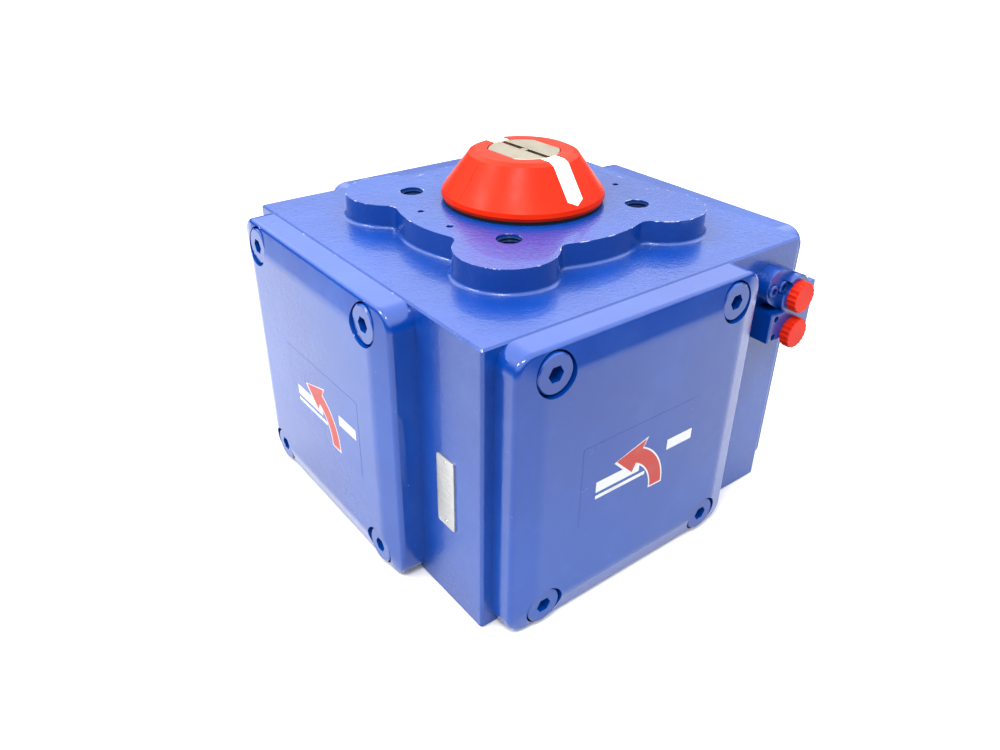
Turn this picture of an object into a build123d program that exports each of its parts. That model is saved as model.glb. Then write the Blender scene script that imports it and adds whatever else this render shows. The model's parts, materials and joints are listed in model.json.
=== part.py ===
from build123d import *
from math import atan2, cos, hypot, pi, radians, sin, sqrt, tan
import os

# Four-piston rack-and-pinion quarter-turn pneumatic actuator, millimetres, +Z up.
# Origin: centre of the valve flange on the bottom face, on the pinion's axis.
# The rest pose is the closed end of the stroke, with all four pistons drawn in.
# The four cylinders stand around the pinion as a pinwheel, so every side face is the
# +X face turned by a quarter turn, and is drawn on its own face plane.

# ---- housing -------------------------------------------------------------------
body_width = 241.2
body_half = body_width / 2
body_height = 179.3
body_chamfer = 1.1
body_corner = 1.8
mid_z = 89.5  # height of the cylinder axes

boss_top = 194.0
boss_radius = 79.0
lobe_radius = 29.3
lobe_offset = 58.3
boss_blend = 7.0
boss_foot = 2.5

# ---- valve flange (ISO 5211 F14, bottom and top) and accessory pattern on top ---
flange_pcd = 140.0
flange_hole_radius = 7.0  # tapping size of M16
top_hole_radius = 7.35  # mid-thread size of M16
flange_hole_depth = 24.0
spigot_radius = 50.0
spigot_depth = 4.5
accessory_x = 30.0
accessory_y = 130.0
accessory_hole_radius = 2.1  # tapping size of M5
accessory_hole_depth = 10.0

# ---- cylinders and covers -------------------------------------------------------
piston_offset = 24.6  # cylinder axis to the face's centre line
bore_radius = 75.0
bore_end = 58.5  # closed end of each bore, from the pinion's axis
cover_width = 177.4
cover_height = 178.4
cover_corner = 12.0
cover_edge_height = 15.2
cover_draft = 0.4  # how far the side walls lean in
cover_border = 15.6  # sloping border round the flat front
cover_border_rise = 4.0
cover_inner_corner = 5.0
cover_edge_rounding = 3.0
cover_border_blend = 20.0
cover_thickness = cover_edge_height + cover_border_rise
cover_front = body_half + cover_thickness
dish_radius = 66.0
dish_depth = 7.0
screw_pitch_u = 131.2
screw_pitch_v = 150.2
screw_head_radius = 11.1
screw_head_height = 10.0
screw_head_front = 138.2
screw_head_chamfer = 0.7
screw_tip_gap = 1.5
screw_shank_radius = 7.92
screw_hole_radius = 8.0
screw_hole_depth = 26.0
screw_clearance_radius = 8.6
counterbore_radius = 12.2
screw_socket = 8.4
screw_socket_depth = 6.0
cover_groove_radius = 78.5
cover_groove_width = 4.6
cover_groove_depth = 3.2
cover_seal_section = 1.45

# ---- rack and pinion ------------------------------------------------------------
module = 3.0
teeth = 16
pressure_angle = 20.0
pitch_radius = module * teeth / 2
tooth_pitch = pi * module
tooth_width = tooth_pitch / 2 - 0.15
gear_tip_radius = pitch_radius + 2.8
gear_root_radius = pitch_radius - 3.6
rack_addendum = 2.6
rack_dedendum = 3.4
rack_height = 25.5
lower_rack_floor = 61.5
upper_rack_floor = 92.0
rack_back = 37.0
rack_end = 47.5
channel_half = 40.2
channel_floor = 60.3
channel_roof = 118.7

# ---- pistons ----------------------------------------------------------------------
piston_inner = 59.0
piston_outer = 79.0
piston_radius = 74.6
piston_chamfer = 1.5
piston_dish_radius = 52.0
piston_dish_depth = 6.0
band_groove = (61.0, 68.0)
band_groove_radius = 72.4
seal_groove = (71.0, 76.0)
seal_groove_radius = 71.3
band_radius = 74.92
band_side_gap = 0.2
band_groove_gap = 0.4
piston_seal_radius = 73.2
piston_seal_section = 1.6
pad_start = -44.0
pad_length = 30.0
pad_face = 40.1
pad_pocket = 36.0
pad_margin = 4.0
pad_chamfer = 0.6

# ---- pinion -------------------------------------------------------------------------
pinion_bottom = 5.5  # stays clear above the centring recess
collar_top = 11.0
collar_radius = 34.5
collar_bore_radius = 36.0
washer_seat = 13.0
washer_gap = 0.1
lower_washer = (30.3, 35.0)  # inner and outer radius
upper_washer = (22.3, 33.0)
bush_shoulder_gap = 0.2
lower_journal = 29.92
gear_floor = 60.0
gear_end_gap = 0.5
upper_journal = 21.95
shaft_top = 224.0
shaft_chamfer = 0.6
gear_roof = channel_roof - gear_end_gap
shaft_flats = 36.0
flats_floor = 203.0
drive_square = 36.0
drive_depth = 40.0
slot_width = 3.6
slot_depth = 4.5
centre_hole_radius = 2.5
centre_hole_depth = 16.0
centre_plug_length = 12.0
centre_plug_set = 0.2  # how far the plug sits below the shaft's end
indicator_turn = 1.5  # the indicator stands a little past square to the faces
lower_bush_top = 50.0
lower_bush_outer = 33.0
lower_bush_inner = 30.0
lower_neck_radius = 30.6
upper_bush_floor = 152.0
upper_bush_top = boss_top - 0.3
upper_bush_outer = 25.0
upper_bush_inner = 22.03
upper_neck_radius = 22.6
press_gap = 0.05
lower_groove = (53.0, 57.0)
lower_groove_radius = 27.2
upper_groove = (138.0, 143.0)
upper_groove_radius = 19.0
clip_groove = (196.0, 198.2)
clip_groove_radius = 20.4
clip_outer = 25.5
clip_eye = (27.0, 5.5)
clip_eye_radius = 3.0
clip_eye_hole = 1.2
clip_gap = 5.0
clip_bore_gap = 0.3
clip_clearance = 0.1
lower_seal = (28.95, 1.4)  # ring radius, section radius
upper_seal = (20.85, 1.5)

# ---- indicator knob -------------------------------------------------------------------
knob_floor = 196.0
knob_radius = 50.3
knob_top_radius = 29.6
knob_shoulder_radius = 33.4
knob_shoulder_blend = 2.4
knob_lip = 2.0
knob_rim = 4.6
knob_lip_taper = 0.9
knob_rim_taper = 0.6
knob_shoulder_drop = 1.6
knob_rim_blend = 8.0
knob_lip_blend = 2.0
knob_hub_radius = 27.5
knob_hollow_outer = 46.0
knob_hollow_top = 218.0
knob_hollow_taper = 1.2
knob_hollow_wall = 5.5
knob_hollow_web = 3.0
knob_recess_radius = 34.5
knob_recess_top = 204.0
above_knob = 40.0  # cutting height that clears the whole knob
ring_inner = 38.0
ring_outer = 49.3
ring_floor = 194.3
stripe_half = 5.8
stripe_start = 21.0
stripe_end = 46.3
stripe_tip = 48.6
stripe_play = 0.1
stripe_floor = 200.0
stripe_thickness = 0.9
stripe_pocket = 1.2
shaft_gap = 0.3

# ---- port block on the +X face ---------------------------------------------------------
port_y = 106.2
port_z = (125.2, 149.2)
port_radius = 5.9  # tapping size of G1/4
port_face = 134.0
bulge_face = 129.5
block_left = 85.2
block_right = 124.4
block_floor = 121.9
block_shelf = 141.0
ear_floor = 141.0
ear_top = 154.6
bulge_spot = (92.6, 156.4)
bulge_radius = 11.0
nose_radius = 13.0
block_chamfer = 0.8
block_overlap = 0.5  # joins the nose and ear to the boss behind them
pad_holes = [(90.0, 137.5), (90.0, 125.2), (121.2, 125.2), (121.2, 148.6)]
block_screws = [(96.2, 155.8), (86.9, 155.3)]
gallery_radius = 4.0
gallery_start = Vector(112.0, 44.0, 0)  # outer chamber to outer chamber, round a corner
gallery_end = Vector(95.0, 114.0, 0)
lower_port_depth = 32.6
upper_port_depth = 17.6
port_passage_radius = 4.5
drop_x = 36.0  # where the upper port's gallery drops into the rack chamber
plug_length = 6.5
plug_setback = 7.0
block_screw_hole = 2.5
block_screw_hole_depth = 9.0
block_screw_clearance = 2.8
block_screw_counterbore = 4.2
block_screw_sink = 3.0
block_screw_head = 3.85
block_screw_head_height = 4.6
block_screw_shank = 2.42
block_screw_chamfer = 0.5
block_screw_grip = 8.0
block_screw_socket = 4.0
block_screw_socket_depth = 2.6
pad_hole_depth = 9.0
seal_seat_radius = 8.3
seal_seat_depth = 1.9
port_seal_radius = 6.9
port_seal_section = 0.8
gallery_z = 150.0
gallery_x = 106.0
gallery_y = 40.0
cap_radius = 9.7
cap_ribs = 18
cap_thickness = 6.0
cap_chamfer = 0.4
cap_plug_length = 8.0
cap_plug_gap = 0.35

# ---- nameplate on the -Y face --------------------------------------------------------------
plate_u = 89.3
plate_z = 77.8
plate_width = 16.0
plate_height = 46.5
plate_thickness = 0.8
plate_corner = 2.0

# ---- printed film labels on two of the covers --------------------------------------------
label_width = 90.0
label_height = 53.0
label_thickness = 0.15
label_corner = 1.5
label_spots = {"px": (-24.6, 86.5), "ny": (-16.0, 84.5)}

SIDES = {"px": 0, "py": 90, "nx": 180, "ny": 270}

os.makedirs("parts", exist_ok=True)


def face_plane(turn):
    """Plane through the origin whose normal points out of a side face: local x runs
    to the right as seen from outside that face, local y is +Z."""
    a = radians(turn)
    return Plane(origin=(0, 0, 0), x_dir=(-sin(a), cos(a), 0), z_dir=(cos(a), sin(a), 0))


def rack_plane(turn, height):
    """Horizontal plane whose local x points out of a side face."""
    a = radians(turn)
    return Plane(origin=(0, 0, height), x_dir=(cos(a), sin(a), 0), z_dir=(0, 0, 1))


def save(piece, name):
    piece.part.label = name
    export_step(piece.part, f"parts/{name}.step")


# ---- housing ---------------------------------------------------------------------------------
def make_housing():
    with BuildPart() as housing:
        with BuildSketch(Plane.XY):
            RectangleRounded(body_width, body_width, body_corner)
        extrude(amount=body_height)
        chamfer(housing.faces().sort_by(Axis.Z)[-1].edges(), body_chamfer)
        chamfer(housing.faces().sort_by(Axis.Z)[0].edges(), body_chamfer)

        # raised accessory boss: a disc with a lobe over each corner bolt
        with BuildSketch(Plane.XY.offset(body_height)) as boss:
            Circle(boss_radius)
            with GridLocations(2 * lobe_offset, 2 * lobe_offset, 2, 2):
                Circle(lobe_radius)
            fillet(boss.vertices(), boss_blend)
        extrude(amount=boss_top - body_height)
        boss_edges = housing.edges().filter_by_position(
            Axis.Z, body_height - 0.01, body_height + 0.01
        )
        fillet([e for e in boss_edges if hypot(e.center().X, e.center().Y) < body_half - 8], boss_foot)

        # the four cylinder bores, their cover screws and the corner galleries
        for turn in SIDES.values():
            face = face_plane(turn)
            with BuildSketch(face.offset(bore_end)):
                with Locations((-piston_offset, mid_z)):
                    Circle(bore_radius)
            extrude(amount=body_half - bore_end + 1, mode=Mode.SUBTRACT)
            with Locations(face.offset(body_half)):
                with Locations((-piston_offset, mid_z)):
                    with GridLocations(screw_pitch_u, screw_pitch_v, 2, 2):
                        Hole(screw_hole_radius, depth=screw_hole_depth)
            # slanted gallery between two neighbouring outer chambers
            start = rack_plane(turn, mid_z).from_local_coords(gallery_start)
            end = rack_plane(turn, mid_z).from_local_coords(gallery_end)
            with BuildSketch(Plane(origin=start, z_dir=end - start)):
                Circle(gallery_radius)
            extrude(amount=(end - start).length, mode=Mode.SUBTRACT)

        # rack channels, crossing at two levels around the pinion
        with BuildSketch(Plane.XY.offset(channel_floor)):
            Rectangle(2 * bore_end + 1, 2 * channel_half)
        extrude(amount=mid_z - channel_floor, mode=Mode.SUBTRACT)
        with BuildSketch(Plane.XY.offset(mid_z)):
            Rectangle(2 * channel_half, 2 * bore_end + 1)
        extrude(amount=channel_roof - mid_z, mode=Mode.SUBTRACT)

        # stepped pinion bore, from the bottom up
        for radius, low, high in (
            (spigot_radius, -1, spigot_depth),
            (collar_bore_radius, 0, washer_seat),
            (lower_bush_outer + press_gap, 0, lower_bush_top),
            (lower_neck_radius, 0, channel_floor + 1),
            (upper_neck_radius, channel_roof - 1, upper_bush_floor),
            (upper_bush_outer + press_gap, upper_bush_floor, boss_top + 1),
        ):
            with BuildSketch(Plane.XY.offset(low)):
                Circle(radius)
            extrude(amount=high - low, mode=Mode.SUBTRACT)

        # valve flange below, the same bolts and the accessory pattern on top
        with Locations(Plane.XY.offset(boss_top)):
            with PolarLocations(flange_pcd / 2, 4, start_angle=45):
                Hole(top_hole_radius, depth=flange_hole_depth)
            with GridLocations(accessory_x, accessory_y, 2, 2):
                Hole(accessory_hole_radius, depth=accessory_hole_depth)
        with BuildSketch(Plane.XY):
            with PolarLocations(flange_pcd / 2, 4, start_angle=45):
                Circle(flange_hole_radius)
        extrude(amount=flange_hole_depth, mode=Mode.SUBTRACT)

        # air passages: the lower port feeds the outer chambers straight away, the
        # upper one turns twice to reach the rack chamber
        face = face_plane(0)
        with Locations(face.offset(body_half)):
            with Locations((port_y, port_z[0])):
                Hole(port_passage_radius, depth=lower_port_depth)
            with Locations((port_y, port_z[1])):
                Hole(port_passage_radius, depth=upper_port_depth)
            with Locations((gallery_y, gallery_z)):
                Hole(gallery_radius, depth=body_half - drop_x + 2)
            with Locations(*block_screws):
                Hole(block_screw_hole, depth=block_screw_hole_depth)
        with BuildSketch(Plane.XZ.offset(-body_half)):
            with Locations((gallery_x, gallery_z)):
                Circle(gallery_radius)
        extrude(amount=body_half - gallery_y + gallery_radius, mode=Mode.SUBTRACT)
        with BuildSketch(Plane.XY.offset(channel_roof - 2)):
            with Locations((drop_x, gallery_y - 2)):
                Circle(gallery_radius)
        extrude(amount=gallery_z - channel_roof + 2, mode=Mode.SUBTRACT)
    save(housing, "housing")


def make_gallery_plugs():
    """Two plain plugs that close the drilled ends of the upper port's gallery."""
    with BuildPart() as plugs:
        with BuildSketch(face_plane(0).offset(body_half - plug_setback)):
            with Locations((gallery_y, gallery_z)):
                Circle(gallery_radius - press_gap)
        extrude(amount=plug_length)
        with BuildSketch(face_plane(90).offset(body_half - plug_setback)):
            with Locations((-gallery_x, gallery_z)):
                Circle(gallery_radius - press_gap)
        extrude(amount=plug_length)
    save(plugs, "gallery_plugs")


# ---- end covers, their screws and seals --------------------------------------------------
def make_cover(side, turn):
    face = face_plane(turn)
    with BuildPart() as cover:
        # slab, then a sloping border up to the flat front, all softly rounded
        for level, inset, corner in (
            (0, 0, cover_corner),
            (cover_edge_height, cover_draft, cover_corner - cover_draft),
            (cover_thickness, cover_draft + cover_border, cover_inner_corner),
        ):
            with BuildSketch(face.offset(body_half + level)):
                with Locations((-piston_offset, mid_z)):
                    RectangleRounded(cover_width - 2 * inset, cover_height - 2 * inset, corner)
        loft(ruled=True)
        outward = Axis((0, 0, 0), tuple(face.z_dir))
        fillet(cover.edges().group_by(outward)[-1], cover_border_blend)
        level = body_half + cover_edge_height
        rim = [e for e in cover.edges() if abs(outward.direction.dot(e.center()) - level) < 0.01]
        fillet(rim, cover_edge_rounding)
        with BuildSketch(face.offset(body_half)):
            with Locations((-piston_offset, mid_z)):
                Circle(dish_radius)
        extrude(amount=dish_depth, mode=Mode.SUBTRACT)
        with BuildSketch(face.offset(body_half)):
            with Locations((-piston_offset, mid_z)):
                Circle(cover_groove_radius + cover_groove_width / 2)
                Circle(cover_groove_radius - cover_groove_width / 2, mode=Mode.SUBTRACT)
        extrude(amount=cover_groove_depth, mode=Mode.SUBTRACT)
        with Locations(face.offset(cover_front)):
            with Locations((-piston_offset, mid_z)):
                with GridLocations(screw_pitch_u, screw_pitch_v, 2, 2):
                    CounterBoreHole(
                        radius=screw_clearance_radius,
                        counter_bore_radius=counterbore_radius,
                        counter_bore_depth=cover_front - screw_head_front + screw_head_height,
                        depth=cover_thickness + 1,
                    )
    save(cover, f"end_cover_{side}")


def make_cover_screws(side, turn):
    face = face_plane(turn)
    under_head = screw_head_front - screw_head_height
    tip = body_half - screw_hole_depth + screw_tip_gap
    with BuildPart() as screws:
        with BuildSketch(face.offset(under_head)):
            with Locations((-piston_offset, mid_z)):
                with GridLocations(screw_pitch_u, screw_pitch_v, 2, 2):
                    Circle(screw_head_radius)
        extrude(amount=screw_head_height)
        outward = Axis((0, 0, 0), tuple(face.z_dir))
        chamfer(screws.edges().group_by(outward)[-1], screw_head_chamfer)
        with BuildSketch(face.offset(tip)):
            with Locations((-piston_offset, mid_z)):
                with GridLocations(screw_pitch_u, screw_pitch_v, 2, 2):
                    Circle(screw_shank_radius)
        extrude(amount=under_head - tip)
        with BuildSketch(face.offset(screw_head_front - screw_socket_depth)):
            with Locations((-piston_offset, mid_z)):
                with GridLocations(screw_pitch_u, screw_pitch_v, 2, 2):
                    RegularPolygon(screw_socket / 2, 6, major_radius=False)
        extrude(amount=screw_socket_depth, mode=Mode.SUBTRACT)
    save(screws, f"cover_screws_{side}")


def make_cover_seal(side, turn):
    face = face_plane(turn)
    middle = face.offset(body_half + cover_groove_depth / 2)
    centre = middle.from_local_coords(Vector(-piston_offset, mid_z, 0))
    with BuildPart(Plane(origin=centre, x_dir=middle.x_dir, z_dir=middle.z_dir)) as seal:
        Torus(cover_groove_radius, cover_seal_section)
    save(seal, f"cover_seal_{side}")


# ---- pistons with their racks --------------------------------------------------------------
def make_piston(side, turn, rack_floor):
    face = face_plane(turn)
    root_line = -pitch_radius - rack_dedendum
    root_width = tooth_width + 2 * rack_dedendum * tan(radians(pressure_angle))
    spots = [tooth_pitch * (k + 0.5) for k in range(-5, 2)]
    with BuildPart() as piston:
        with BuildSketch(face.offset(piston_inner)):
            with Locations((-piston_offset, mid_z)):
                Circle(piston_radius)
        extrude(amount=piston_outer - piston_inner)
        outward = Axis((0, 0, 0), tuple(face.z_dir))
        chamfer(piston.edges().group_by(outward)[-1], piston_chamfer)
        for (low, high), radius in (
            (band_groove, band_groove_radius),
            (seal_groove, seal_groove_radius),
        ):
            with BuildSketch(face.offset(low)):
                with Locations((-piston_offset, mid_z)):
                    Circle(bore_radius + 5)
                    Circle(radius, mode=Mode.SUBTRACT)
            extrude(amount=high - low, mode=Mode.SUBTRACT)
        with BuildSketch(face.offset(piston_outer)):
            with Locations((-piston_offset, mid_z)):
                Circle(piston_dish_radius)
        extrude(amount=-piston_dish_depth, mode=Mode.SUBTRACT)

        # the rack: a bar along the pitch line with trapezoid teeth towards the pinion
        with BuildSketch(rack_plane(turn, rack_floor)):
            with Locations((-rack_end, -rack_back)):
                Rectangle(
                    rack_end + piston_inner + 1,
                    rack_back + root_line,
                    align=(Align.MIN, Align.MIN),
                )
            with Locations(*[(w, root_line) for w in spots]):
                Trapezoid(
                    root_width,
                    rack_dedendum + rack_addendum,
                    90 - pressure_angle,
                    align=(Align.CENTER, Align.MIN),
                )
        extrude(amount=rack_height)
        # pocket for the guide pad in the rack's back
        with BuildSketch(rack_plane(turn, rack_floor + pad_margin)):
            with Locations((pad_start, -rack_back)):
                Rectangle(pad_length, rack_back - pad_pocket, align=(Align.MIN, Align.MIN))
        extrude(amount=rack_height - 2 * pad_margin, mode=Mode.SUBTRACT)
    save(piston, f"piston_{side}")


def make_piston_band(side, turn):
    face = face_plane(turn)
    with BuildPart() as band:
        with BuildSketch(face.offset(band_groove[0] + band_side_gap)):
            with Locations((-piston_offset, mid_z)):
                Circle(band_radius)
                Circle(band_groove_radius + band_groove_gap, mode=Mode.SUBTRACT)
        extrude(amount=band_groove[1] - band_groove[0] - 2 * band_side_gap)
    save(band, f"piston_band_{side}")


def make_piston_seal(side, turn):
    middle = face_plane(turn).offset(sum(seal_groove) / 2)
    centre = middle.from_local_coords(Vector(-piston_offset, mid_z, 0))
    with BuildPart(Plane(origin=centre, x_dir=middle.x_dir, z_dir=middle.z_dir)) as seal:
        Torus(piston_seal_radius, piston_seal_section)
    save(seal, f"piston_seal_{side}")


def make_rack_pad(side, turn, rack_floor):
    with BuildPart() as pad:
        with BuildSketch(rack_plane(turn, rack_floor + pad_margin)):
            with Locations((pad_start, -pad_face)):
                Rectangle(pad_length, pad_face - pad_pocket, align=(Align.MIN, Align.MIN))
        extrude(amount=rack_height - 2 * pad_margin)
        pad_back = pad.faces().sort_by(Axis((0, 0, 0), tuple(face_plane(turn).x_dir)))[0]
        chamfer(pad_back.edges(), pad_chamfer)
    save(pad, f"rack_pad_{side}")


# ---- pinion ------------------------------------------------------------------------------------
def involute_flank(base_radius, start_angle, steps=6):
    """Points of one tooth flank from the base circle out to the tip circle."""
    end_roll = sqrt((gear_tip_radius / base_radius) ** 2 - 1)
    points = []
    for step in range(steps):
        roll = end_roll * step / (steps - 1)
        x = base_radius * (cos(roll) + roll * sin(roll))
        y = base_radius * (sin(roll) - roll * cos(roll))
        radius = hypot(x, y)
        angle = start_angle + atan2(y, x)
        points.append((radius * cos(angle), radius * sin(angle)))
    return points


def gear_outline():
    """The pinion's toothed outline, with one tooth centred on +X."""
    slope = radians(pressure_angle)
    base_radius = pitch_radius * cos(slope)
    half_angle = tooth_width / 2 / pitch_radius + tan(slope) - slope
    right = involute_flank(base_radius, -half_angle)
    left = [(x, -y) for x, y in right]
    inner = gear_root_radius - 1
    with BuildSketch() as tooth:
        with BuildLine():
            Line((inner * cos(half_angle), -inner * sin(half_angle)), right[0])
            Spline(*right)
            ThreePointArc(right[-1], (gear_tip_radius, 0), left[-1])
            Spline(*left)
            Line(left[0], (inner * cos(half_angle), inner * sin(half_angle)))
            Line(
                (inner * cos(half_angle), inner * sin(half_angle)),
                (inner * cos(half_angle), -inner * sin(half_angle)),
            )
        make_face()
    with BuildSketch() as outline:
        Circle(gear_root_radius)
        with PolarLocations(0, teeth):
            add(tooth.sketch)
    return outline.sketch


def make_pinion():
    toothed = gear_outline()
    with BuildPart() as pinion:
        for radius, low, high in (
            (collar_radius, pinion_bottom, collar_top),
            (lower_journal, collar_top, gear_floor),
            (upper_journal, gear_roof, shaft_top),
        ):
            with BuildSketch(Plane.XY.offset(low)):
                Circle(radius)
            extrude(amount=high - low)
        chamfer(pinion.edges().sort_by(Axis.Z)[-1], shaft_chamfer)
        with BuildSketch(Plane.XY.offset(gear_floor)):
            add(toothed)
        extrude(amount=gear_roof - gear_floor)

        # two flats and a screwdriver slot at the top, an eight-point socket below
        turned = Plane.XY.rotated((0, 0, indicator_turn))
        with BuildSketch(turned.offset(flats_floor)):
            Rectangle(3 * upper_journal, 3 * upper_journal)
            Rectangle(3 * upper_journal, shaft_flats, mode=Mode.SUBTRACT)
        extrude(amount=shaft_top - flats_floor, mode=Mode.SUBTRACT)
        with BuildSketch(turned.offset(shaft_top - slot_depth)):
            Rectangle(3 * upper_journal, slot_width)
        extrude(amount=slot_depth, mode=Mode.SUBTRACT)
        with Locations(Plane.XY.offset(shaft_top)):
            Hole(centre_hole_radius, depth=centre_hole_depth)
        with BuildSketch(Plane.XY.offset(pinion_bottom)):
            Rectangle(drive_square, drive_square)
            Rectangle(drive_square, drive_square, rotation=45)
        extrude(amount=drive_depth, mode=Mode.SUBTRACT)

        # grooves for the two seals and the retaining ring
        for (low, high), radius in (
            (lower_groove, lower_groove_radius),
            (upper_groove, upper_groove_radius),
            (clip_groove, clip_groove_radius),
        ):
            with BuildSketch(Plane.XY.offset(low)):
                Circle(lower_bush_outer)
                Circle(radius, mode=Mode.SUBTRACT)
            extrude(amount=high - low, mode=Mode.SUBTRACT)
    save(pinion, "pinion")


def make_turned_rings():
    """Bushes, washers and base ring: plain rings around the pinion."""
    bush_floor = upper_bush_floor + bush_shoulder_gap
    rings = {
        "lower_bush": (lower_bush_inner, lower_bush_outer, washer_seat, lower_bush_top),
        "upper_bush": (upper_bush_inner, upper_bush_outer, bush_floor, upper_bush_top),
        "lower_thrust_washer": (*lower_washer, collar_top + washer_gap, washer_seat - washer_gap),
        "upper_thrust_washer": (*upper_washer, boss_top, clip_groove[0] - washer_gap),
        "indicator_base_ring": (ring_inner, ring_outer, ring_floor, knob_floor),
    }
    for name, (inner, outer, low, high) in rings.items():
        with BuildPart() as ring:
            with BuildSketch(Plane.XY.offset(low)):
                Circle(outer)
                Circle(inner, mode=Mode.SUBTRACT)
            extrude(amount=high - low)
        save(ring, name)


def make_pinion_seals():
    with BuildPart(Plane.XY.offset(sum(lower_groove) / 2)) as lower:
        Torus(*lower_seal)
    save(lower, "pinion_seal_lower")
    with BuildPart(Plane.XY.offset(sum(upper_groove) / 2)) as upper:
        Torus(*upper_seal)
    save(upper, "pinion_seal_upper")


def make_retaining_ring():
    """External circlip: an open ring with two eyelets at its gap."""
    with BuildPart() as clip:
        eyes = [clip_eye, (clip_eye[0], -clip_eye[1])]
        with BuildSketch(Plane.XY.offset(clip_groove[0] + clip_clearance)):
            Circle(clip_outer)
            with Locations(*eyes):
                Circle(clip_eye_radius)
            Circle(clip_groove_radius + clip_bore_gap, mode=Mode.SUBTRACT)
            with Locations((clip_eye[0], 0)):
                Rectangle(clip_outer, clip_gap, mode=Mode.SUBTRACT)
            with Locations(*eyes):
                Circle(clip_eye_hole, mode=Mode.SUBTRACT)
        extrude(amount=clip_groove[1] - clip_groove[0] - 2 * clip_clearance)
    save(clip, "retaining_ring")


# ---- indicator ------------------------------------------------------------------------------------
def knob_profile(inset):
    """Half section of the knob's outside in the XZ plane, moved inwards by inset."""
    with BuildSketch(Plane.XZ) as section:
        with BuildLine():
            Polyline(
                (0, knob_floor),
                (knob_radius - knob_lip_taper, knob_floor),
                (knob_radius, knob_floor + knob_lip),
                (knob_radius - knob_rim_taper, knob_floor + knob_rim),
                (knob_shoulder_radius, shaft_top - knob_shoulder_drop),
                (knob_top_radius, shaft_top),
                (0, shaft_top),
                close=True,
            )
        make_face()
        shoulder = [v for v in section.vertices() if v.X > 1 and v.Z > shaft_top - 3]
        fillet(shoulder, knob_shoulder_blend)
        rim = [v for v in section.vertices() if v.X > knob_shoulder_radius]
        fillet([v for v in rim if v.Z > knob_floor + knob_lip + 1], knob_rim_blend)
        fillet([v for v in rim if abs(v.Z - knob_floor - knob_lip) < 1], knob_lip_blend)
        if inset:
            offset(amount=-inset, kind=Kind.INTERSECTION)
    return section.sketch


def make_knob_solid(inset):
    profile = knob_profile(inset)
    with BuildPart() as solid:
        add(profile)
        revolve(axis=Axis.Z)
    return solid.part


def stripe_outline(plane, margin):
    """Two pointed stripes on opposite sides of the knob, grown by margin."""
    half = stripe_half + margin
    with BuildSketch(plane) as stripes:
        for flip in (1, -1):
            with BuildLine():
                Polyline(
                    (flip * stripe_start, -half),
                    (flip * (stripe_end + margin), -half),
                    (flip * (stripe_tip + margin), 0),
                    (flip * (stripe_end + margin), half),
                    (flip * stripe_start, half),
                    close=True,
                )
            make_face()
    return stripes.sketch


def double_d(plane, gap):
    """Outline of the shaft's flatted end, grown by gap."""
    with BuildSketch(plane) as outline:
        Circle(upper_journal + gap)
        Rectangle(3 * upper_journal, shaft_flats + 2 * gap, mode=Mode.INTERSECT)
    return outline.sketch


def make_indicator():
    whole = make_knob_solid(0)
    stripe_core = make_knob_solid(stripe_thickness)
    pocket_core = make_knob_solid(stripe_pocket)
    turned = Plane.XY.rotated((0, 0, indicator_turn))
    hub = double_d(turned.offset(knob_floor), shaft_gap)

    with BuildPart() as stripes:
        add(stripe_outline(turned.offset(stripe_floor), 0))
        extrude(amount=above_knob)
        add(whole, mode=Mode.INTERSECT)
        add(stripe_core, mode=Mode.SUBTRACT)
        add(hub)
        extrude(amount=above_knob, mode=Mode.SUBTRACT)
    save(stripes, "indicator_stripes")

    with BuildPart() as pockets:
        add(stripe_outline(turned.offset(stripe_floor - stripe_play), stripe_play))
        extrude(amount=above_knob)
        add(pocket_core, mode=Mode.SUBTRACT)

    with BuildPart() as knob:
        add(whole)
        # hollow underneath, around a hub that grips the shaft's flats
        with BuildSketch(Plane.XZ):
            with BuildLine():
                Polyline(
                    (knob_hub_radius, knob_floor),
                    (knob_hollow_outer, knob_floor),
                    (knob_hollow_outer - knob_hollow_taper, knob_floor + knob_hollow_wall),
                    (knob_hub_radius + knob_hollow_web, knob_hollow_top),
                    (knob_hub_radius, knob_hollow_top),
                    close=True,
                )
            make_face()
        revolve(axis=Axis.Z, mode=Mode.SUBTRACT)
        with BuildSketch(Plane.XY.offset(knob_floor)):
            Circle(knob_recess_radius)
        extrude(amount=knob_recess_top - knob_floor, mode=Mode.SUBTRACT)
        add(hub)
        extrude(amount=above_knob, mode=Mode.SUBTRACT)
        add(pockets.part, mode=Mode.SUBTRACT)
    save(knob, "indicator_knob")

    with BuildPart() as plug:
        with BuildSketch(Plane.XY.offset(shaft_top - centre_plug_length)):
            Circle(centre_hole_radius - press_gap)
        extrude(amount=centre_plug_length - centre_plug_set)
    save(plug, "shaft_centre_plug")


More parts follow.
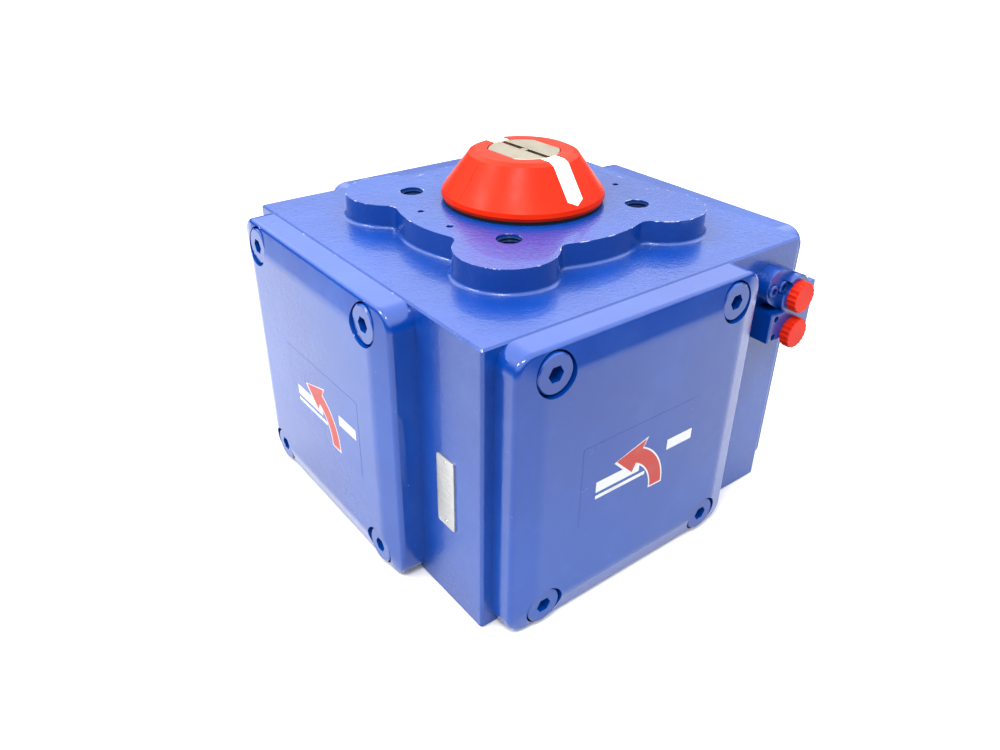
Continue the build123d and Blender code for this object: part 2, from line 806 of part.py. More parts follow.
# ---- port block, its screws, seals and shipping caps ------------------------------------------------
def make_port_block():
    base = face_plane(0).offset(body_half)
    with BuildPart() as block:
        with BuildSketch(base):
            with Locations((block_left, block_floor)):
                Rectangle(
                    block_right - block_left,
                    block_shelf - block_floor,
                    align=(Align.MIN, Align.MIN),
                )
        extrude(amount=port_face - body_half)
        with BuildSketch(base):
            with Locations(bulge_spot):
                Circle(bulge_radius)
            with Locations((port_y, port_z[1])):
                Circle(nose_radius)
            make_hull()
        extrude(amount=bulge_face - body_half)
        with BuildSketch(face_plane(0).offset(bulge_face - block_overlap)):
            with Locations((port_y, port_z[1])):
                Circle(nose_radius)
            with Locations((port_y, ear_floor - 6)):
                Rectangle(block_right - port_y, ear_top - ear_floor + 6, align=(Align.MIN, Align.MIN))
        extrude(amount=port_face - bulge_face + block_overlap)
        front = block.faces().sort_by(Axis.X)[-1]
        chamfer(front.outer_wire().edges(), block_chamfer)

        with Locations(face_plane(0).offset(port_face)):
            with Locations(*[(port_y, z) for z in port_z]):
                Hole(port_radius)
            with Locations(*pad_holes):
                Hole(accessory_hole_radius, depth=pad_hole_depth)
        with Locations(face_plane(0).offset(bulge_face)):
            with Locations(*block_screws):
                CounterBoreHole(
                    radius=block_screw_clearance,
                    counter_bore_radius=block_screw_counterbore,
                    counter_bore_depth=block_screw_sink,
                    depth=bulge_face - body_half + 1,
                )
        with BuildSketch(base):
            with Locations(*[(port_y, z) for z in port_z]):
                Circle(seal_seat_radius)
        extrude(amount=seal_seat_depth, mode=Mode.SUBTRACT)
    save(block, "port_block")


def make_port_block_screws():
    face = face_plane(0)
    under_head = bulge_face - block_screw_sink
    with BuildPart() as screws:
        with BuildSketch(face.offset(under_head)):
            with Locations(*block_screws):
                Circle(block_screw_head)
        extrude(amount=block_screw_head_height)
        chamfer(screws.edges().group_by(Axis.X)[-1], block_screw_chamfer)
        with BuildSketch(face.offset(body_half - block_screw_grip)):
            with Locations(*block_screws):
                Circle(block_screw_shank)
        extrude(amount=under_head - body_half + block_screw_grip)
        with BuildSketch(face.offset(under_head + block_screw_head_height)):
            with Locations(*block_screws):
                RegularPolygon(block_screw_socket / 2, 6, major_radius=False)
        extrude(amount=-block_screw_socket_depth, mode=Mode.SUBTRACT)
    save(screws, "port_block_screws")


def make_port_seals():
    with BuildPart(face_plane(0).offset(body_half + seal_seat_depth / 2)) as seals:
        with Locations(*[(port_y, z) for z in port_z]):
            Torus(port_seal_radius, port_seal_section)
    save(seals, "port_seals")


def make_port_cap(name, z):
    face = face_plane(0)
    with BuildPart() as cap:
        with BuildSketch(face.offset(port_face)):
            with Locations((port_y, z)):
                with PolarLocations(0, cap_ribs // 6, angular_range=60):
                    RegularPolygon(cap_radius, 6)
        extrude(amount=cap_thickness)
        chamfer(cap.faces().sort_by(Axis.X)[-1].edges(), cap_chamfer)
        with BuildSketch(face.offset(port_face - cap_plug_length)):
            with Locations((port_y, z)):
                Circle(port_radius - cap_plug_gap)
        extrude(amount=cap_plug_length)
    save(cap, name)


def make_nameplate():
    with BuildPart() as plate:
        with BuildSketch(face_plane(270).offset(body_half)):
            with Locations((plate_u, plate_z)):
                RectangleRounded(plate_width, plate_height, plate_corner)
        extrude(amount=plate_thickness)
    save(plate, "nameplate")


def make_cover_label(side, spot):
    with BuildPart() as film:
        with BuildSketch(face_plane(SIDES[side]).offset(cover_front)):
            with Locations(spot):
                RectangleRounded(label_width, label_height, label_corner)
        extrude(amount=label_thickness)
    save(film, f"cover_label_{side}")


make_housing()
make_gallery_plugs()
for side, turn in SIDES.items():
    floor = lower_rack_floor if side in ("px", "nx") else upper_rack_floor
    make_cover(side, turn)
    make_cover_screws(side, turn)
    make_cover_seal(side, turn)
    make_piston(side, turn, floor)
    make_piston_band(side, turn)
    make_piston_seal(side, turn)
    make_rack_pad(side, turn, floor)
make_pinion()
make_turned_rings()
make_pinion_seals()
make_retaining_ring()
make_indicator()
make_port_block()
make_port_block_screws()
make_port_seals()
for level, z in zip(("lower", "upper"), port_z):
    make_port_cap(f"port_cap_{level}", z)
make_nameplate()
for side, spot in label_spots.items():
    make_cover_label(side, spot)
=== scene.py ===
import json
import math

import bmesh
import bpy
from mathutils import Matrix, Vector


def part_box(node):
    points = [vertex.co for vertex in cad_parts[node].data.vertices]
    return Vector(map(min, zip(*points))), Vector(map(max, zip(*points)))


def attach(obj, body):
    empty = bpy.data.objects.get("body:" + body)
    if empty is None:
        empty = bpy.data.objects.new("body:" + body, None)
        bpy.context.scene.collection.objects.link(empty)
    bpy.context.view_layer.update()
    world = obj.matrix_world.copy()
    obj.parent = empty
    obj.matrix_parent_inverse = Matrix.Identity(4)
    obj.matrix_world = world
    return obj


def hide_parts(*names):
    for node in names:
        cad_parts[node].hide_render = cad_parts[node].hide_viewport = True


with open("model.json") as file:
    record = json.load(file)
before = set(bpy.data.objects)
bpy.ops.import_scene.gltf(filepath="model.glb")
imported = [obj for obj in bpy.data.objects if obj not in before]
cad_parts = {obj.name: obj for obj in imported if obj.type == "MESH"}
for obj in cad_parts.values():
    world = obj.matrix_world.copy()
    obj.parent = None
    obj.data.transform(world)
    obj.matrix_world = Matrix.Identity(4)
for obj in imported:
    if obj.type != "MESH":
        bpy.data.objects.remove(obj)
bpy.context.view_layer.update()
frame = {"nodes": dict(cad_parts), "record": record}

# Looks of a four-piston pneumatic actuator: blue enamelled castings, a red indicator
# knob with white stripes, a bright pinion end, printed film labels and a nameplate.
# All lengths are metres in the CAD frame.

MM = 0.001
HOUSING = "housing_assembly"
PINION = "pinion_assembly"

# Heights above which the enamel is chipped along its edges, and the chips' own sizes
BODY_CHIPS_FROM = 192.5 * MM
COVER_CHIPS_FROM = 174.5 * MM
CHIP_FADE = 0.6 * MM
CHIP_EDGE = 1.3 * MM

# Linear colours
ENAMEL_DEEP = (0.0, 0.032, 0.200)
ENAMEL_LIGHT = (0.0, 0.046, 0.255)
ENAMEL_DUST = (0.05, 0.14, 0.36)
# pale blue of lit, hazy enamel, scattered in specks over the enamel as painted sheen
ENAMEL_PAINTED_SHEEN = (0.30, 0.38, 0.58)
BARE_METAL = (0.80, 0.80, 0.76)
WHITE_INK = (0.46, 0.47, 0.48)
RED_INK = (0.32, 0.014, 0.005)


# ---------------------------------------------------------------- node helpers
class Shader:
    """A Principled material and short ways to add procedural nodes to it."""

    def __init__(self, name, color, roughness, metallic=0.0):
        self.material = bpy.data.materials.new(name)
        self.material.use_nodes = True
        self.tree = self.material.node_tree
        self.bsdf = self.tree.nodes["Principled BSDF"]
        self.bsdf.inputs["Base Color"].default_value = (*color, 1.0)
        self.bsdf.inputs["Roughness"].default_value = roughness
        self.bsdf.inputs["Metallic"].default_value = metallic
        self.coords = self.tree.nodes.new("ShaderNodeTexCoord").outputs["Object"]

    def node(self, kind, inputs=None, **settings):
        node = self.tree.nodes.new(kind)
        for key, value in settings.items():
            setattr(node, key, value)
        for key, value in (inputs or {}).items():
            if isinstance(value, bpy.types.NodeSocket):
                self.tree.links.new(value, node.inputs[key])
            else:
                node.inputs[key].default_value = value
        return node

    def link(self, source, name):
        self.tree.links.new(source, self.bsdf.inputs[name])

    def stretched(self, scale):
        node = self.node("ShaderNodeMapping", {"Vector": self.coords, "Scale": scale})
        return node.outputs["Vector"]

    def noise(self, scale, detail=3.0, roughness=0.5, vector=None):
        inputs = {"Scale": scale, "Detail": detail, "Roughness": roughness}
        inputs["Vector"] = vector or self.coords
        return self.node("ShaderNodeTexNoise", inputs).outputs["Fac"]

    def ramp(self, value, low, high, to_low=0.0, to_high=1.0):
        inputs = {"Value": value, "From Min": low, "From Max": high}
        inputs["To Min"] = to_low
        inputs["To Max"] = to_high
        return self.node("ShaderNodeMapRange", inputs, clamp=True).outputs["Result"]

    def math(self, operation, a, b=0.0):
        return self.node("ShaderNodeMath", {0: a, 1: b}, operation=operation).outputs[0]

    def times(self, a, b):
        return self.math("MULTIPLY", a, b)

    def mix(self, factor, a, b):
        """Colour mix; the node's sockets 6 and 7 are its colours and output 2 their mix."""
        node = self.node("ShaderNodeMix", data_type="RGBA")
        for index, value in ((0, factor), (6, a), (7, b)):
            if isinstance(value, bpy.types.NodeSocket):
                self.tree.links.new(value, node.inputs[index])
            elif index:
                node.inputs[index].default_value = (*value, 1.0)
            else:
                node.inputs[index].default_value = value
        return node.outputs[2]

    def bump(self, height, strength, distance, normal=None):
        inputs = {"Height": height, "Strength": strength, "Distance": distance}
        if normal:
            inputs["Normal"] = normal
        return self.node("ShaderNodeBump", inputs).outputs["Normal"]

    def edges(self, radius, low, high):
        """Mask of sharp edges: where a rounded normal leaves the true one."""
        rounded = self.node("ShaderNodeBevel", {"Radius": radius}, samples=6)
        true = self.node("ShaderNodeNewGeometry").outputs["Normal"]
        match = self.node(
            "ShaderNodeVectorMath",
            {0: rounded.outputs["Normal"], 1: true},
            operation="DOT_PRODUCT",
        )
        return self.ramp(match.outputs["Value"], high, low)

    def height(self):
        return self.node("ShaderNodeSeparateXYZ", {"Vector": self.coords}).outputs["Z"]


# ---------------------------------------------------------------- materials
def blue_enamel(name, roughness, grain, chip_height=None, sound=0.54):
    """Glossy enamel over a casting; grain is the casting showing through.

    Above chip_height the enamel is chipped along its edges, less the higher sound is.
    """
    s = Shader(name, ENAMEL_DEEP, roughness)
    color = s.mix(s.ramp(s.noise(9.0, 4.0), 0.35, 0.68), ENAMEL_DEEP, ENAMEL_LIGHT)
    dust = s.times(s.ramp(s.noise(30.0, 6.0, 0.65), 0.50, 0.80), 0.12)
    color = s.mix(dust, color, ENAMEL_DUST)
    # pale specks of painted sheen over the enamel
    painted_sheen = s.ramp(s.noise(430.0, 2.0), 0.765, 0.80)
    color = s.mix(s.times(painted_sheen, 0.35), color, ENAMEL_PAINTED_SHEEN)
    rough = s.ramp(s.noise(38.0, 4.0), 0.3, 0.7, roughness - 0.04, roughness + 0.06)
    peel = s.bump(s.noise(170.0, 2.0), 0.16, 0.0006)
    cast = s.bump(s.noise(560.0, 4.0, 0.6), grain, 0.0004, peel)
    if chip_height:
        high = s.ramp(s.height(), chip_height, chip_height + CHIP_FADE)
        spots = s.ramp(s.noise(130.0, 5.0, 0.7), sound, sound + 0.06)
        chips = s.times(s.times(s.edges(CHIP_EDGE, 0.74, 0.92), spots), high)
        color = s.mix(chips, color, BARE_METAL)
        rough = s.math("ADD", rough, s.times(chips, 0.3))
        cast = s.bump(chips, 0.4, -0.0002, cast)
    s.link(color, "Base Color")
    s.link(rough, "Roughness")
    s.link(cast, "Normal")
    s.bsdf.inputs["Coat Weight"].default_value = 0.25
    s.bsdf.inputs["Coat Roughness"].default_value = 0.04
    return s.material


def moulded_plastic(name, color, dark, roughness, grain=0.12):
    """Moulded plastic: two near tones, a slight wave and a fine grain."""
    s = Shader(name, color, roughness)
    s.link(s.mix(s.ramp(s.noise(26.0, 4.0), 0.35, 0.7), color, dark), "Base Color")
    rough = s.ramp(s.noise(70.0, 3.0), 0.3, 0.7, roughness - 0.05, roughness + 0.07)
    s.link(rough, "Roughness")
    waves = s.bump(s.noise(120.0), 0.08, 0.0006)
    s.link(s.bump(s.noise(1500.0, 3.0), grain, 0.0002, waves), "Normal")
    s.bsdf.inputs["Specular IOR Level"].default_value = 0.12
    return s.material


def machined_steel(name, color, along=(1.0, 1.0, 1.0)):
    """Turned or milled steel: fine lines along one direction, faint stains."""
    s = Shader(name, color, 0.34, 1.0)
    lines = s.noise(400.0, 4.0, 0.6, s.stretched(along))
    stain = s.ramp(s.noise(60.0, 5.0, 0.6), 0.42, 0.70)
    dull = tuple(0.62 * c for c in color)
    s.link(s.mix(s.times(stain, 0.45), color, dull), "Base Color")
    s.link(s.ramp(lines, 0.3, 0.7, 0.26, 0.46), "Roughness")
    s.link(s.bump(lines, 0.18, 0.0002), "Normal")
    return s.material


def rubber(name):
    """Black rubber or matt plastic with a little dust."""
    color = (0.006, 0.006, 0.007)
    s = Shader(name, color, 0.55)
    dust = s.ramp(s.noise(55.0, 4.0), 0.5, 0.8, 0.0, 0.20)
    s.link(s.mix(dust, color, (0.05, 0.05, 0.055)), "Base Color")
    s.bsdf.inputs["Specular IOR Level"].default_value = 0.20
    s.link(s.bump(s.noise(1100.0, 3.0), 0.15, 0.0002), "Normal")
    return s.material


def cast_aluminium(name):
    """Bare aluminium casting with a fine, slightly rough skin."""
    s = Shader(name, (0.60, 0.61, 0.63), 0.42, 1.0)
    patch = s.ramp(s.noise(30.0, 5.0), 0.3, 0.7)
    s.link(s.mix(patch, (0.52, 0.53, 0.55), (0.66, 0.67, 0.69)), "Base Color")
    s.link(s.ramp(s.noise(160.0, 4.0), 0.3, 0.7, 0.34, 0.52), "Roughness")
    s.link(s.bump(s.noise(700.0, 4.0), 0.25, 0.0003), "Normal")
    return s.material


def printed(name, color, worn):
    """Screen-printed ink: even colour, rubbed through here and there."""
    s = Shader(name, color, 0.34)
    faded = tuple(0.80 * c + 0.03 for c in color)
    out = s.mix(s.ramp(s.noise(140.0, 4.0), 0.5, 0.75), color, faded)
    rubbed = s.ramp(s.noise(420.0, 5.0, 0.7), 0.66, 0.72)
    s.link(s.mix(s.times(rubbed, worn), out, ENAMEL_LIGHT), "Base Color")
    s.link(s.bump(s.noise(900.0), 0.06, 0.0001), "Normal")
    return s.material


def make_materials():
    """Every material by its kind."""
    return {
        "body": blue_enamel("enamel_body", 0.21, 0.60, BODY_CHIPS_FROM),
        "cover": blue_enamel("enamel_cover", 0.15, 0.12, COVER_CHIPS_FROM, 0.62),
        "film": blue_enamel("label_film", 0.22, 0.05),
        # the threads are a darker blue than the enamel they are painted with: painted shade inside
        # the holes
        "thread": moulded_plastic("thread_painted_shade", (0.0, 0.016, 0.080), (0.0, 0.010, 0.050), 0.3),
        "red": moulded_plastic("red_knob", (0.50, 0.020, 0.002), (0.44, 0.015, 0.001), 0.34),
        # the seams are a darker red than the knob: painted shade along the ridges
        "seam_painted_shade": moulded_plastic("knob_seam", (0.26, 0.008, 0.001), (0.20, 0.006, 0.001), 0.4),
        "cap": moulded_plastic("red_cap", (0.50, 0.020, 0.005), (0.42, 0.014, 0.004), 0.36, 0.08),
        "white": moulded_plastic("white_insert", (0.80, 0.80, 0.77), (0.74, 0.73, 0.68), 0.40),
        "black": rubber("black_ring"),
        "seal": rubber("seal_rubber"),
        "shaft": machined_steel("shaft_end", (0.40, 0.365, 0.29), (1.0, 9.0, 1.0)),
        "steel": machined_steel("plain_steel", (0.50, 0.50, 0.50)),
        "plate": machined_steel("plate_metal", (0.54, 0.54, 0.51), (0.2, 1.0, 3.0)),
        "plate_ink": printed("plate_ink", (0.34, 0.34, 0.32), 0.0),
        "aluminium": cast_aluminium("cast_aluminium"),
        "bearing": moulded_plastic("bearing_plastic", (0.60, 0.56, 0.45), (0.52, 0.48, 0.38), 0.5),
        "ink_white": printed("ink_white", WHITE_INK, 0.55),
        "ink_red": printed("ink_red", RED_INK, 0.20),
    }


# starts of node names and the kind of material they get; the first that fits counts
NODE_KINDS = (
    (("housing", "port_block"), "body"),
    (("end_cover", "cover_screws"), "cover"),
    (("cover_label",), "film"),
    (("cover_seal", "port_seals", "pinion_seal", "piston_seal"), "seal"),
    (("piston_band", "rack_pad", "lower_", "upper_"), "bearing"),
    (("piston_",), "aluminium"),
    (("port_cap",), "cap"),
    (("indicator_knob",), "red"),
    (("indicator_stripes",), "white"),
    # the black of the ring under the knob is partly painted shade of the gap beneath the knob
    (("indicator_base_ring",), "black"),
    (("nameplate",), "plate"),
    (("pinion", "shaft_centre_plug"), "shaft"),
    (("",), "steel"),
)


def dress_nodes(materials):
    """Gives every CAD node the material of the first kind its name fits."""
    for name, obj in frame["nodes"].items():
        kind = next(kind for starts, kind in NODE_KINDS if name.startswith(starts))
        obj.data.materials.clear()
        obj.data.materials.append(materials[kind])


# ---------------------------------------------------------------- mesh helpers
def add_piece(name, mesh, material, body):
    """Turns a bmesh into an object that rides on a CAD body."""
    bmesh.ops.recalc_face_normals(mesh, faces=mesh.faces)
    data = bpy.data.meshes.new(name)
    mesh.to_mesh(data)
    mesh.free()
    data.materials.append(material)
    obj = bpy.data.objects.new(name, data)
    bpy.context.scene.collection.objects.link(obj)
    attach(obj, body)
    return obj


def face_placer(node):
    """Maps (along, up, out) from the middle of a flat node on a side face."""
    low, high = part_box(node)
    middle = (low + high) / 2
    if high.x - low.x < high.y - low.y:
        return lambda u, v, w: Vector((low.x + w, middle.y + u, middle.z + v))
    return lambda u, v, w: Vector((middle.x + u, high.y - w, middle.z + v))


def rounded_outline(width, height, radius, steps=6, shift=(0.0, 0.0)):
    """The outline of a rectangle with rounded corners, that many steps to a corner."""
    points = []
    for quarter, (sx, sy) in enumerate(((1, 1), (-1, 1), (-1, -1), (1, -1))):
        for step in range(steps + 1):
            angle = math.radians(90 * (quarter + step / steps))
            x = sx * (width / 2 - radius) + radius * math.cos(angle)
            y = sy * (height / 2 - radius) + radius * math.sin(angle)
            points.append((x + shift[0], y + shift[1]))
    return points


def circle_outline(radius, shift, steps=20):
    angles = [2 * math.pi * step / steps for step in range(steps)]
    x, y = shift
    return [(x + radius * math.cos(a), y + radius * math.sin(a)) for a in angles]


def add_slab(mesh, outline, low, high, place, inset=0.0, inner=None):
    """A plate with that outline, or a frame between it and an inner outline.

    inset draws the upper outline in towards the middle by that share.
    """
    middle = [sum(c) / len(outline) for c in zip(*outline)]
    top = [(x + inset * (middle[0] - x), y + inset * (middle[1] - y)) for x, y in outline]
    loops = [[mesh.verts.new(place(x, y, low)) for x, y in outline]]
    loops.append([mesh.verts.new(place(x, y, high)) for x, y in top])
    if inner:
        loops.append([mesh.verts.new(place(x, y, high)) for x, y in inner])
        loops.append([mesh.verts.new(place(x, y, low)) for x, y in inner])
        loops.append(loops[0])
    else:
        mesh.faces.new(loops[0])
        mesh.faces.new(loops[1])
    count = len(outline)
    for one, two in zip(loops, loops[1:]):
        for i in range(count):
            j = (i + 1) % count
            mesh.faces.new((one[i], one[j], two[j], two[i]))


# ---------------------------------------------------------------- labels on the covers
LABEL_FILM = 0.09 * MM
INK = 0.02 * MM
LABEL_CORNER = 1.5 * MM
ARROW_CENTRE = (-16.0 * MM, -22.0 * MM)
ARROW_RADIUS = 30.0 * MM
ARROW_WIDTH = 9.0 * MM
ARROW_HEAD = 10.5 * MM
ARROW_OUTLINE = 1.0 * MM
ARROW_NECK = math.radians(62)
ARROW_TIP = math.radians(97)
ARROW_STEPS = 18
# how far the neck, the tip and the barbs move out for a border of one unit
NECK_GROWTH = 0.4
TIP_GROWTH = 1.8
BARB_GROWTH = 1.7
BAR_CORNER = 0.5 * MM
BUBBLE_STEPS = 12
BUBBLE_DOME = 0.5  # share by which a bubble narrows towards its top
# left, right, low and high of the blank bars, then x, y and radius of the bubbles, mm
LABEL_BARS = (
    (-34.0, -1.0, -6.5, 0.5),
    (20.5, 41.0, -1.5, 5.5),
    (-34.0, 4.0, -11.0, -8.6),
)
BUBBLES = ((-40.0, -21.0, 0.8), (-38.6, 15.0, 0.6), (41.5, 17.5, 0.7), (-41.8, 2.0, 0.5))


def turn_arrow(grow):
    """A quarter-turn arrow, grown all round by about that much."""
    inner = ARROW_RADIUS - ARROW_WIDTH / 2 - grow
    outer = ARROW_RADIUS + ARROW_WIDTH / 2 + grow
    start = -grow / ARROW_RADIUS
    neck = ARROW_NECK - NECK_GROWTH * grow / ARROW_RADIUS
    tip = ARROW_TIP + TIP_GROWTH * grow / ARROW_RADIUS

    def at(radius, angle):
        return (
            ARROW_CENTRE[0] + radius * math.cos(angle),
            ARROW_CENTRE[1] + radius * math.sin(angle),
        )

    turns = [start + (neck - start) * step / ARROW_STEPS for step in range(ARROW_STEPS + 1)]
    head = ARROW_HEAD + BARB_GROWTH * grow
    points = [at(outer, angle) for angle in turns]
    points += [at(ARROW_RADIUS + head, neck), at(ARROW_RADIUS, tip), at(ARROW_RADIUS - head, neck)]
    points += [at(inner, angle) for angle in reversed(turns)]
    return points


def bar(left, right, low, high):
    """A blank bar of the print, with slightly rounded ends."""
    middle = ((left + right) / 2 * MM, (low + high) / 2 * MM)
    return rounded_outline((right - left) * MM, (high - low) * MM, BAR_CORNER, 3, middle)


def add_label(node, materials):
    """A clear film with bubbles under its edges, a printed arrow and blank bars."""
    place = face_placer(node)
    low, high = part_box(node)
    length = max(high.x - low.x, high.y - low.y)
    side = node.removeprefix("cover_label_")

    film = bmesh.new()
    outline = rounded_outline(length, high.z - low.z, LABEL_CORNER)
    add_slab(film, outline, 0.0, LABEL_FILM, place)
    for x, y, radius in BUBBLES:
        dome = circle_outline(radius * MM, (x * MM, y * MM), BUBBLE_STEPS)
        add_slab(film, dome, LABEL_FILM, LABEL_FILM + 2 * INK, place, BUBBLE_DOME)
    piece = add_piece(f"label_film_{side}", film, materials["film"], HOUSING)
    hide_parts(node)

    white = bmesh.new()
    add_slab(white, turn_arrow(ARROW_OUTLINE), LABEL_FILM, LABEL_FILM + INK, place)
    for blank in LABEL_BARS:
        add_slab(white, bar(*blank), LABEL_FILM, LABEL_FILM + INK / 2, place)
    add_piece(f"label_white_{side}", white, materials["ink_white"], HOUSING)

    red = bmesh.new()
    add_slab(red, turn_arrow(0.0), LABEL_FILM + INK, LABEL_FILM + 2 * INK, place)
    add_piece(f"label_red_{side}", red, materials["ink_red"], HOUSING)


# ---------------------------------------------------------------- nameplate
PLATE_CORNER = 2.0 * MM
PLATE_RIM = 0.9 * MM
PLATE_RELIEF = 0.22 * MM
RIVET_RADIUS = 1.15 * MM
RIVET_INSET = 3.2 * MM
RIVET_SHOULDER = 0.35 * MM
RIVET_TOP = 0.6 * MM
RIVET_TAPER = 0.15  # shares by which the base and the crown narrow
CROWN_TAPER = 0.35
CROWN_SHARE = 0.85  # of the base's radius
PLATE_SINK = 0.15 * MM  # how far the added pieces reach into the plate
FIELD_PROUD = 0.08 * MM
FIELD_CORNER = 0.3 * MM
LONG_FIELD = 0.62  # share of the plate's width
SHORT_FIELD = 0.46
PLATE_LINES = (13.5, 10.5, 7.5, 2.5, -0.5, -6.0, -12.5)  # heights of the blank fields, mm
PLATE_LINE_WIDTH = 0.9 * MM


def add_nameplate(materials):
    """Raised rim, blank embossed fields and two rivets on the plate."""
    low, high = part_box("nameplate")
    place_base = face_placer("nameplate")
    thickness = high.y - low.y
    width = high.x - low.x
    height = high.z - low.z

    def place(u, v, w):
        return place_base(u, v, w + thickness)

    rim = bmesh.new()
    outer_size = (width - 2 * PLATE_SINK, height - 2 * PLATE_SINK)
    outer = rounded_outline(*outer_size, PLATE_CORNER - PLATE_SINK)
    inner_size = (width - 2 * PLATE_RIM, height - 2 * PLATE_RIM)
    inner = rounded_outline(*inner_size, PLATE_CORNER - PLATE_RIM)
    add_slab(rim, outer, -PLATE_SINK, PLATE_RELIEF, place, 0.0, inner)
    add_piece("nameplate_rim", rim, materials["plate"], HOUSING)

    rivets = bmesh.new()
    for sign in (1, -1):
        spot = (0.0, sign * (height / 2 - RIVET_INSET))
        base = circle_outline(RIVET_RADIUS, spot)
        add_slab(rivets, base, -PLATE_SINK, RIVET_SHOULDER, place, RIVET_TAPER)
        crown = circle_outline(CROWN_SHARE * RIVET_RADIUS, spot)
        add_slab(rivets, crown, RIVET_SHOULDER, RIVET_TOP, place, CROWN_TAPER)
    add_piece("nameplate_rivets", rivets, materials["steel"], HOUSING)

    fields = bmesh.new()
    for number, line in enumerate(PLATE_LINES):
        length = width * (LONG_FIELD if number % 3 else SHORT_FIELD)
        shift = (0.0, line * MM)
        field = rounded_outline(length, PLATE_LINE_WIDTH, FIELD_CORNER, 2, shift)
        add_slab(fields, field, -PLATE_SINK, FIELD_PROUD, place)
    add_piece("nameplate_fields", fields, materials["plate_ink"], HOUSING)


# ---------------------------------------------------------------- threads
THREAD_PITCH = 2.0 * MM
THREAD_DEPTH = 0.75 * MM
THREAD_LENGTH = 21.0 * MM
THREAD_STEPS = 40
THREAD_START = 0.6 * MM  # first turn below the hole's mouth
THREAD_HALF = 0.44 * THREAD_PITCH
THREAD_CREST = 0.1 * THREAD_HALF
THREAD_ROOT = 0.02 * MM  # how far the coil reaches into the wall


def add_thread(mesh, spot, radius, mouth, inward):
    """One helical thread on the wall of a tapped hole, from its mouth inwards."""
    count = int(THREAD_LENGTH / THREAD_PITCH * THREAD_STEPS)
    root = radius + THREAD_ROOT
    crest = radius - THREAD_DEPTH
    profile = ((root, THREAD_HALF), (crest, THREAD_CREST))
    profile += ((crest, -THREAD_CREST), (root, -THREAD_HALF))
    rings = []
    for step in range(count + 1):
        angle = 2 * math.pi * step / THREAD_STEPS
        depth = THREAD_START + THREAD_HALF + THREAD_PITCH * step / THREAD_STEPS
        ring = []
        for reach, rise in profile:
            x = spot[0] + reach * math.cos(angle)
            y = spot[1] + reach * math.sin(angle)
            ring.append(mesh.verts.new((x, y, mouth + inward * (depth + rise))))
        rings.append(ring)
    for one, two in zip(rings, rings[1:]):
        for i in range(len(profile)):
            j = (i + 1) % len(profile)
            mesh.faces.new((one[i], one[j], two[j], two[i]))
    mesh.faces.new(rings[0])
    mesh.faces.new(rings[-1])


def add_threads(materials):
    """Threads in the four large holes of the top and of the bottom flange."""
    for mount in frame["record"]["mounts"]:
        if not mount["name"].endswith("flange_f14"):
            continue
        mesh = bmesh.new()
        mouth = mount["pos_m"][2]
        radius = mount["dims"]["hole_r_mm"] * MM
        reach = mount["dims"]["pcd_mm"] / 2 * MM
        for number in range(4):
            angle = math.radians(45 + 90 * number)
            spot = (reach * math.cos(angle), reach * math.sin(angle))
            add_thread(mesh, spot, radius, mouth, -mount["axis"][2])
        name = mount["name"].replace("flange_f14", "threads")
        add_piece(name, mesh, materials["thread"], HOUSING)


# ---------------------------------------------------------------- knob
# radius and height of the seam's ends on the cone
SEAM_TOP = (35.19 * MM, 220.0 * MM)
SEAM_FOOT = (47.90 * MM, 203.0 * MM)
SEAM_WIDTH = 0.35 * MM
SEAM_PROUD = 0.10 * MM
SEAM_CREST = 0.3  # share of the seam's width that is left at its crest
KNOB_TURN = math.radians(1.5)


def add_knob_seams(materials):
    """The mould line down the cone on both sides, square to the stripes, coloured darker than the
    knob as painted shade along it.
    """
    mesh = bmesh.new()
    slope = Vector((SEAM_TOP[1] - SEAM_FOOT[1], SEAM_FOOT[0] - SEAM_TOP[0])).normalized()
    for side in (-1, 1):
        angle = KNOB_TURN + side * math.pi / 2
        outward = Vector((math.cos(angle), math.sin(angle), 0))
        across = Vector((-math.sin(angle), math.cos(angle), 0)) * SEAM_WIDTH / 2
        ends = []
        for reach, height in (SEAM_TOP, SEAM_FOOT):
            loop = []
            for lift, shift in ((-1, -1), (1, -SEAM_CREST), (1, SEAM_CREST), (-1, 1)):
                rise = lift * SEAM_PROUD
                spot = outward * (reach + slope.x * rise)
                spot.z = height + slope.y * rise
                loop.append(mesh.verts.new(spot + across * shift))
            ends.append(loop)
        for i in range(4):
            j = (i + 1) % 4
            mesh.faces.new((ends[0][i], ends[0][j], ends[1][j], ends[1][i]))
        mesh.faces.new(ends[0])
        mesh.faces.new(ends[1])
    add_piece("knob_seams", mesh, materials["seam_painted_shade"], PINION)


# ---------------------------------------------------------------- stage
FLOOR_SIZE = 8.0
FLOOR_BRIGHT = 0.50  # the floor is pale this far out
FLOOR_DIM = 0.95
FLOOR_PALE = ((0.61, 0.61, 0.62), (0.63, 0.63, 0.64))
# painted shade: the grey the floor takes far out on the side of the camera
FLOOR_PAINTED_SHADE = (0.12, 0.12, 0.125)
DOME_LOW = (0.10, 0.18)  # height of the direction, strength
DOME_HIGH = (0.60, 3.2)
VIEW_GAMMA = 0.9
# name, place, aim, size and power of the lamps
LAMPS = (
    ("window_right", (0.42, -0.50, 1.05), (0.06, -0.06, 0.15), (0.26, 0.14), 7.0),
    ("window_left", (-0.30, -0.80, 0.85), (-0.05, -0.20, 0.10), (0.30, 0.16), 5.0),
)


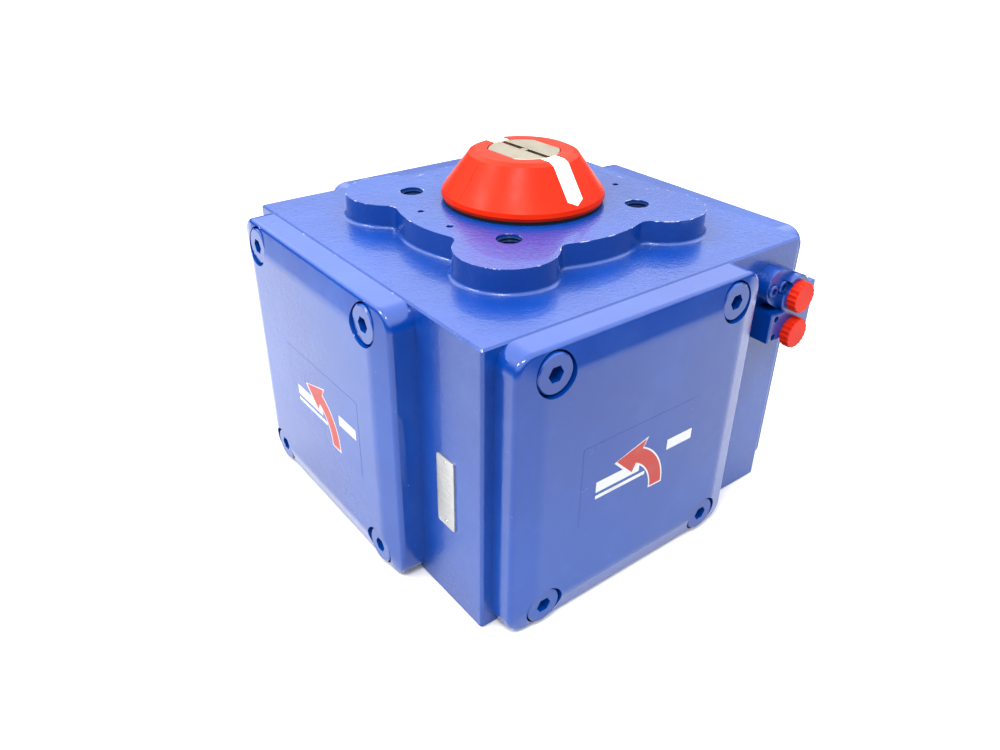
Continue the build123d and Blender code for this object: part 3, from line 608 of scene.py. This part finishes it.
def add_floor():
    """Pale floor with painted shade: a little greyer far out on the side of the camera."""
    bpy.ops.mesh.primitive_plane_add(size=FLOOR_SIZE, location=(0, 0, 0))
    floor = bpy.context.object
    floor.name = "floor"
    s = Shader("floor_white", FLOOR_PALE[0], 0.6)
    place = s.node("ShaderNodeSeparateXYZ", {"Vector": s.coords})
    front = s.math("MULTIPLY", place.outputs["Y"], -1.0)
    reach = s.math("MAXIMUM", place.outputs["X"], front)
    near = s.mix(s.ramp(s.noise(3.0), 0.3, 0.7), *FLOOR_PALE)
    # painted shade, growing further out on the side of the camera
    far = s.ramp(reach, FLOOR_BRIGHT, FLOOR_DIM)
    s.link(s.mix(far, near, FLOOR_PAINTED_SHADE), "Base Color")
    floor.data.materials.append(s.material)


def add_area(name, location, target, size, power):
    """A rectangular lamp aimed at the target."""
    light = bpy.data.lights.new(name, "AREA")
    light.shape = "RECTANGLE"
    light.size, light.size_y = size
    light.energy = power
    obj = bpy.data.objects.new(name, light)
    bpy.context.scene.collection.objects.link(obj)
    obj.location = location
    aim = Vector(target) - Vector(location)
    obj.rotation_euler = aim.to_track_quat("-Z", "Y").to_euler()


def add_world():
    """Soft studio dome, bright above and dim near the horizon."""
    world = bpy.data.worlds.new("studio")
    bpy.context.scene.world = world
    world.use_nodes = True
    tree = world.node_tree
    back = tree.nodes["Background"]
    back.inputs["Color"].default_value = (1.0, 1.0, 1.0, 1.0)
    coords = tree.nodes.new("ShaderNodeTexCoord")
    split = tree.nodes.new("ShaderNodeSeparateXYZ")
    climb = tree.nodes.new("ShaderNodeMapRange")
    climb.interpolation_type = "SMOOTHSTEP"
    for end, (height, strength) in (("Min", DOME_LOW), ("Max", DOME_HIGH)):
        climb.inputs[f"From {end}"].default_value = height
        climb.inputs[f"To {end}"].default_value = strength
    tree.links.new(coords.outputs["Generated"], split.inputs["Vector"])
    tree.links.new(split.outputs["Z"], climb.inputs["Value"])
    tree.links.new(climb.outputs["Result"], back.inputs["Strength"])


def add_lights():
    """The dome, the lamps and the plain view settings."""
    add_world()
    for lamp in LAMPS:
        add_area(*lamp)
    scene = bpy.context.scene
    scene.view_settings.view_transform = "Standard"
    scene.view_settings.look = "None"
    scene.view_settings.gamma = VIEW_GAMMA


CAMERA_ANGLES = (52.017, 30.890, 0.8625)  # azimuth, elevation and roll in degrees
CAMERA_TARGET = Vector((-8.34, -9.21, 65.04)) * MM
CAMERA_DISTANCE = 579.82 * MM
SENSOR_WIDTH = 36.0  # millimetres, as Blender wants them
LENS = 29.835
CLIP_START = 0.01


def add_camera():
    """Looks at the faces with the ports and the nameplate from a little above."""
    azimuth, elevation, roll = (math.radians(angle) for angle in CAMERA_ANGLES)
    flat = math.cos(elevation)
    back = Vector((math.sin(azimuth) * flat, -math.cos(azimuth) * flat, math.sin(elevation)))
    side = (-back).cross(Vector((0, 0, 1))).normalized()
    up = side.cross(-back)
    right = side * math.cos(roll) + up * math.sin(roll)
    top = -side * math.sin(roll) + up * math.cos(roll)
    data = bpy.data.cameras.new("camera")
    data.sensor_width = SENSOR_WIDTH
    data.lens = LENS
    data.clip_start = CLIP_START
    camera = bpy.data.objects.new("camera", data)
    bpy.context.scene.collection.objects.link(camera)
    turn = Matrix((right, top, back)).transposed().to_4x4()
    camera.matrix_world = Matrix.Translation(CAMERA_TARGET + back * CAMERA_DISTANCE) @ turn
    bpy.context.scene.camera = camera


materials = make_materials()
add_camera()
add_floor()
add_lights()
dress_nodes(materials)
for node in ("cover_label_px", "cover_label_ny"):
    add_label(node, materials)
add_nameplate(materials)
add_threads(materials)
add_knob_seams(materials)
